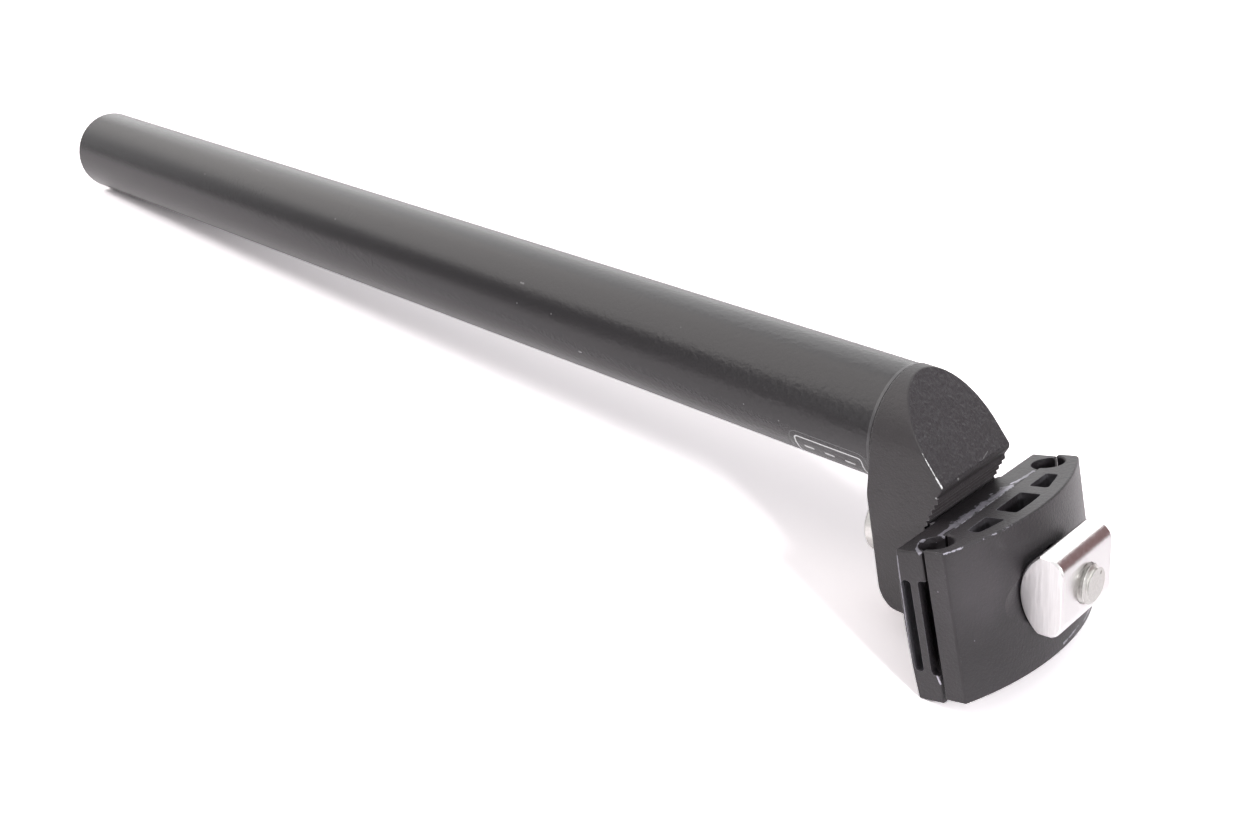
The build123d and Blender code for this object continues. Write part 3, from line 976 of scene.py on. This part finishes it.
@dataclass
class ClampBolt:
    """Socket cap screw with a cut thread, from below the head up into the nut."""

    axes: PostAxes
    lean: float = math.radians(5.0)
    shank_radius: float = 4.0 * MM
    root_radius: float = 3.3 * MM
    pitch: float = 1.25 * MM
    thread_length: float = 26.0 * MM
    tip: float = -0.1 * MM
    tip_chamfer: float = 0.35 * MM
    seat: float = -41.8 * MM
    head_radius: float = 6.5 * MM
    head_height: float = 8.0 * MM
    head_chamfer: float = 0.8 * MM
    rim_round: float = 0.3 * MM
    knurl_depth: float = 0.14 * MM
    socket_width: float = 6.0 * MM
    socket_depth: float = 4.0 * MM
    crest_end: float = 1 / 8
    root_run: Range = (7 / 16, 11 / 16)
    runout: float = 1.5
    steps: int = 48
    merge: float = 0.002 * MM
    cut_margin: float = 1e-7
    sharp_angle: float = math.radians(28)

    def build(self) -> bpy.types.Object:
        """Builds the bolt in its place.

        Returns:
            The bolt's object.
        """
        mesh_edit = bmesh.new()
        self._thread(mesh_edit)
        self._head(mesh_edit)
        bmesh.ops.remove_doubles(mesh_edit, verts=mesh_edit.verts, dist=self.merge)
        bmesh.ops.recalc_face_normals(mesh_edit, faces=mesh_edit.faces)
        angle = self.axes.lean + self.lean
        turn = Matrix.Rotation(math.pi / 2 - angle, 4, "Y")
        bmesh.ops.transform(mesh_edit, matrix=Matrix.Translation(self.axes.tilt_centre) @ turn,
                            verts=mesh_edit.verts)
        bolt = place_mesh(mesh_edit, "threaded_bolt")
        bolt.data.polygons.foreach_set("use_smooth", [True] * len(bolt.data.polygons))
        bolt.data.set_sharp_from_angle(angle=self.sharp_angle)
        log.info("threaded bolt with %d faces", len(bolt.data.polygons))
        return bolt

    def dress(self, bolt: bpy.types.Object, effects: Effects) -> None:
        """Gives the bolt, its washer and its nut their finishes and the bolt its place in the part.

        Args:
            bolt: The bolt's object.
            effects: The shared node groups.
        """
        finish_node("barrel_nut", Body.POST, BRIGHT_NUT.material(effects, self.axes, self.lean))
        plated = DULL_ZINC.material(effects, self.axes, self.lean)
        finish_node("bolt_washer", Body.POST, plated)
        bolt.data.materials.append(plated)
        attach(bolt, Body.POST.value)
        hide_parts("clamp_bolt")

    def _thread(self, mesh_edit: bmesh.types.BMesh) -> None:
        """Spins the thread, cuts it to length, closes its tip and draws its foot out to a plain shank.

        Args:
            mesh_edit: The mesh that it goes into.
        """
        crest, root = self.shank_radius, self.root_radius
        root_start, root_end = self.root_run
        outline = ((0.0, crest), (self.crest_end, crest), (root_start, root), (root_end, root), (1.0, crest))
        turns = math.ceil(self.thread_length / self.pitch) + 2
        start = self.tip + self.pitch / 2 - turns * self.pitch
        points = [mesh_edit.verts.new((radius, 0, start + share * self.pitch)) for share, radius in outline]
        edges = [mesh_edit.edges.new(pair) for pair in zip(points, points[1:])]
        bmesh.ops.spin(mesh_edit, geom=points + edges, cent=(0, 0, 0), axis=(0, 0, 1),
                       dvec=(0, 0, self.pitch / self.steps), angle=2 * math.pi * turns,
                       steps=self.steps * turns)
        bmesh.ops.remove_doubles(mesh_edit, verts=mesh_edit.verts, dist=self.merge)
        foot = self.tip - self.thread_length
        for point in mesh_edit.verts:
            radius = math.hypot(point.co.x, point.co.y)
            share = min(max((point.co.z - foot) / (self.runout * self.pitch), 0.0), 1.0)
            wanted = crest - (crest - radius) * share
            wanted = min(wanted, crest - self.tip_chamfer + max(self.tip - point.co.z, 0.0))
            point.co.x *= wanted / radius
            point.co.y *= wanted / radius
        for height, up in ((self.tip, True), (foot, False)):
            everything = [*mesh_edit.verts, *mesh_edit.edges, *mesh_edit.faces]
            bmesh.ops.bisect_plane(mesh_edit, geom=everything, dist=self.cut_margin, plane_co=(0, 0, height),
                                   plane_no=(0, 0, 1), clear_outer=up, clear_inner=not up)
        rims = [edge for edge in mesh_edit.edges if edge.is_boundary]
        top = [edge for edge in rims if edge.verts[0].co.z > foot + self.pitch]
        low = [edge for edge in rims if edge.verts[0].co.z <= foot + self.pitch]
        bmesh.ops.edgeloop_fill(mesh_edit, edges=top)
        drawn = bmesh.ops.extrude_edge_only(mesh_edit, edges=low)["geom"]
        moved = [item for item in drawn if isinstance(item, bmesh.types.BMVert)]
        bmesh.ops.translate(mesh_edit, verts=moved, vec=(0, 0, self.seat - foot))

    def _head(self, mesh_edit: bmesh.types.BMesh) -> None:
        """Spins the knurled head, joins it to the open foot of the shank and sinks its socket.

        Args:
            mesh_edit: The mesh that holds the shank.
        """
        radius, low = self.head_radius, self.seat - self.head_height
        outline = ((radius - self.rim_round, self.seat), (radius, self.seat - self.rim_round),
                   (radius, self.seat - 3 * self.rim_round), (radius, low + 2 * self.head_chamfer),
                   (radius, low + self.head_chamfer), (radius - self.head_chamfer, low))
        columns = 2 * self.steps
        points = [mesh_edit.verts.new((away, 0, height)) for away, height in outline]
        edges = [mesh_edit.edges.new(pair) for pair in zip(points, points[1:])]
        bmesh.ops.spin(mesh_edit, geom=points + edges, cent=(0, 0, 0), axis=(0, 0, 1),
                       angle=2 * math.pi, steps=columns, use_merge=True)
        for point in mesh_edit.verts:
            on_side = low + 1.5 * self.head_chamfer < point.co.z < self.seat - 2 * self.rim_round
            if on_side and math.hypot(point.co.x, point.co.y) > self.shank_radius + 1 * MM:
                column = round(math.atan2(point.co.y, point.co.x) * columns / (2 * math.pi))
                if column % 2:
                    share = 1 - self.knurl_depth / radius
                    point.co.x *= share
                    point.co.y *= share
        rims = [edge for edge in mesh_edit.edges if edge.is_boundary]
        seat_rim = [edge for edge in rims if edge.verts[0].co.z > low + self.head_chamfer]
        bottom_rim = [edge for edge in rims if edge.verts[0].co.z <= low + self.head_chamfer]
        bmesh.ops.triangle_fill(mesh_edit, use_beauty=True, edges=seat_rim)
        hexagon = bmesh.ops.create_circle(mesh_edit, segments=6, radius=self.socket_width / math.sqrt(3),
                                          matrix=Matrix.Translation((0, 0, low)))["verts"]
        sides = [edge for edge in mesh_edit.edges if all(point in hexagon for point in edge.verts)]
        bmesh.ops.triangle_fill(mesh_edit, use_beauty=True, edges=bottom_rim + sides)
        walls = bmesh.ops.extrude_edge_only(mesh_edit, edges=sides)["geom"]
        floor_points = [item for item in walls if isinstance(item, bmesh.types.BMVert)]
        bmesh.ops.translate(mesh_edit, verts=floor_points, vec=(0, 0, self.socket_depth))
        floor_edges = [edge for edge in mesh_edit.edges if edge.is_boundary]
        bmesh.ops.edgeloop_fill(mesh_edit, edges=floor_edges)


@dataclass(frozen=True)
class SoftBox:
    """A rectangular lamp that faces the part."""

    name: str
    azimuth: float
    elevation: float
    distance: float
    size: float
    radiance: float
    colour: Triple = (1.0, 1.0, 1.0)
    shine: bool = True

    def build(self, target: Vector) -> None:
        """Hangs the lamp.

        Args:
            target: The point that it faces.
        """
        azimuth, elevation = math.radians(self.azimuth), math.radians(self.elevation)
        away = Vector((math.cos(azimuth) * math.cos(elevation), math.sin(azimuth) * math.cos(elevation),
                       math.sin(elevation)))
        lamp = bpy.data.lights.new(self.name, "AREA")
        lamp.shape = "SQUARE"
        lamp.size = self.size
        lamp.color = self.colour
        lamp.energy = self.radiance * math.pi * self.size ** 2
        holder = bpy.data.objects.new(self.name, lamp)
        holder.matrix_world = (Matrix.Translation(target + away * self.distance) @
                               (-away).to_track_quat("-Z", "Y").to_matrix().to_4x4())
        holder.visible_glossy = self.shine
        bpy.context.scene.collection.objects.link(holder)


@dataclass(frozen=True)
class Flag:
    """A grey or lit card, bent round the part, that shows only in its gloss."""

    name: str
    azimuth: float
    spread: float
    bottom: float
    top: float
    colour: Colour
    distance: float = 2.2
    steps: int = 24

    def build(self) -> None:
        """Stands the card up."""
        mesh_edit = bmesh.new()
        start = math.radians(self.azimuth - self.spread / 2)
        heights = [self.distance * math.tan(math.radians(angle)) for angle in (self.bottom, self.top)]
        x, y = self.distance * math.cos(start), self.distance * math.sin(start)
        points = [mesh_edit.verts.new((x, y, height)) for height in heights]
        edge = mesh_edit.edges.new(points)
        bmesh.ops.spin(mesh_edit, geom=points + [edge], cent=(0, 0, 0), axis=(0, 0, 1),
                       angle=math.radians(self.spread), steps=self.steps)
        card = place_mesh(mesh_edit, self.name)
        material = bpy.data.materials.new(self.name)
        graph = blank_graph(material)
        glow = graph.add("ShaderNodeEmission", {"Color": self.colour})
        graph.add("ShaderNodeOutputMaterial", {"Surface": glow.outputs[0]})
        card.data.materials.append(material)
        card.visible_camera = False
        card.visible_diffuse = False
        card.visible_shadow = False


@dataclass
class Studio:
    """White floor and surround, soft lamps, grey cards and the camera."""

    axes: PostAxes
    floor_size: float = 8.0
    floor_colour: Colour = (0.90, 0.90, 0.90, 1)
    floor_seen: Colour = (2.10, 2.02, 2.08, 1)
    floor_gloss: float = 0.65
    head_gloss: float = 0.93
    head_run: Range = (0.07, 0.14)
    nut_gloss: float = 0.58
    nut_run: Range = (0.185, 0.21)
    white_run: Range = (0.42, 0.80)
    front_grey: float = 0.35
    front_start: float = -0.09
    front_end: float = -0.22
    surround_light: float = 0.33
    eye: Triple = (463.2 * MM, -131.6 * MM, -229.3 * MM)
    aim: Triple = (245.76 * MM, 22.67 * MM, -2.54 * MM)
    roll: float = math.radians(2.96)
    focal_share: float = 1424.8 / 1250
    sensor: float = 36.0
    clip: Range = (0.01, 50.0)
    lamps: tuple[SoftBox, ...] = (
        SoftBox("key_right", -19, 30.5, 1.4, 0.20, 68.0),
        SoftBox("fill_left", -146, 40, 1.4, 1.20, 2.0, (1.0, 0.97, 0.94), shine=False),
        SoftBox("overhead", 110, 64, 1.5, 1.50, 0.35))
    cards: tuple[Flag, ...] = (
        Flag("card_front_left", -134, 26, 1.0, 22.0, (0.24, 0.24, 0.24, 1)),
        Flag("card_far_left", -153, 12, 1.0, 22.0, (0.70, 0.70, 0.70, 1)),
        Flag("card_back_right", 54, 52, 3.0, 44.0, (0.22, 0.13, 0.13, 1)),
        Flag("glow_left", -160, 78, 22.0, 66.0, (1.95, 1.90, 1.86, 1), 2.3),
        Flag("glow_back", 122, 86, 0.5, 50.0, (1.7, 1.7, 1.7, 1), 2.4))

    def build(self) -> None:
        """Builds the whole studio."""
        self._floor()
        self._surround()
        self._camera()
        for lamp in self.lamps:
            lamp.build(Vector((0, 0, 0)))
            log.info("lamp %s", lamp.name)
        for card in self.cards:
            card.build()
            log.info("card %s", card.name)

    @staticmethod
    def _seen(graph: NodeGraph) -> Socket:
        """Tells the rays that show the background from those that light the part.

        Args:
            graph: The graph that the nodes go into.

        Returns:
            1 for a ray of the camera, of gloss or through glass, and 0 for the rest.
        """
        path = graph.add("ShaderNodeLightPath")
        total: Value = 0.0
        for sight in Sight:
            total = graph.math("MAXIMUM", total, path.outputs[sight.value])
        return total

    def _floor(self) -> None:
        """Lays the floor."""
        mesh_edit = bmesh.new()
        bmesh.ops.create_grid(mesh_edit, x_segments=1, y_segments=1, size=self.floor_size / 2)
        floor = place_mesh(mesh_edit, "floor")
        material = bpy.data.materials.new("floor_white")
        graph = blank_graph(material)
        along, forward, _ = graph.add("ShaderNodeSeparateXYZ", {0: graph.place()}).outputs
        # Painted reflection: as seen in gloss, the floor is lighter from the head on, dimmer past the nut
        # and greyer towards negative Y, which shapes the reflections on the part.
        level = graph.blend(graph.ramp(along, *self.head_run), self.floor_gloss, self.head_gloss)
        level = graph.blend(graph.ramp(along, *self.nut_run), level, self.nut_gloss)
        fade = graph.ramp(forward, self.front_end, self.front_start, self.front_grey, 1.0)
        gloss = graph.add("ShaderNodeLightPath").outputs[Sight.GLOSSY.value]
        shade = graph.blend(gloss, 1.0, graph.math("MULTIPLY", fade, level))
        seen = graph.add("ShaderNodeVectorMath", {0: self.floor_seen[:3], "Scale": shade}, operation="SCALE")
        colour = graph.mix(self._seen(graph), self.floor_colour, seen.outputs[0])
        matt = graph.add("ShaderNodeBsdfDiffuse", {"Color": colour})
        white = graph.add("ShaderNodeEmission", {"Color": (1, 1, 1, 1)})
        far = graph.ramp(graph.vector("LENGTH", graph.place()).outputs["Value"], *self.white_run)
        direct = graph.add("ShaderNodeLightPath").outputs[Sight.CAMERA.value]
        plain = graph.add("ShaderNodeMixShader", {0: graph.math("MULTIPLY", far, direct), 1: matt.outputs[0],
                                                  2: white.outputs[0]})
        clear = graph.add("ShaderNodeBsdfTransparent")
        below = graph.add("ShaderNodeNewGeometry").outputs["Backfacing"]
        either = graph.add("ShaderNodeMixShader", {0: below, 1: plain.outputs[0], 2: clear.outputs[0]})
        graph.add("ShaderNodeOutputMaterial", {"Surface": either.outputs[0]})
        floor.data.materials.append(material)
        log.info("floor")

    def _surround(self) -> None:
        """Makes the world white to the eye and plain as a light."""
        world = bpy.data.worlds.new("surround")
        graph = blank_graph(world)
        strength = graph.blend(self._seen(graph), self.surround_light, 1.0)
        background = graph.add("ShaderNodeBackground", {"Color": (1, 1, 1, 1), "Strength": strength})
        graph.add("ShaderNodeOutputWorld", {"Surface": background.outputs[0]})
        bpy.context.scene.world = world

    def _camera(self) -> None:
        """Sets up the camera by its place on the post."""
        eye, aim = self.axes.point(*self.eye), self.axes.point(*self.aim)
        lens = bpy.data.cameras.new("camera")
        lens.sensor_width = self.sensor
        lens.lens = self.focal_share * self.sensor
        lens.clip_start, lens.clip_end = self.clip
        camera = bpy.data.objects.new("camera", lens)
        turn = (aim - eye).to_track_quat("-Z", "Y").to_matrix().to_4x4()
        camera.matrix_world = Matrix.Translation(eye) @ turn @ Matrix.Rotation(self.roll, 4, "Z")
        bpy.context.scene.collection.objects.link(camera)
        bpy.context.scene.camera = camera


def main() -> None:
    """Builds and dresses the seatpost and its studio."""
    logging.basicConfig(level=logging.INFO, format="%(name)s: %(message)s")
    bpy.context.scene.view_settings.view_transform = "Standard"
    axes = PostAxes.read(frame["record"])
    effects = Effects()
    Post(axes).dress(effects)
    SaddleClamp(axes).dress(effects)
    bolt = ClampBolt(axes)
    bolt.dress(bolt.build(), effects)
    Studio(axes).build()


if __name__ == "__main__":
    main()
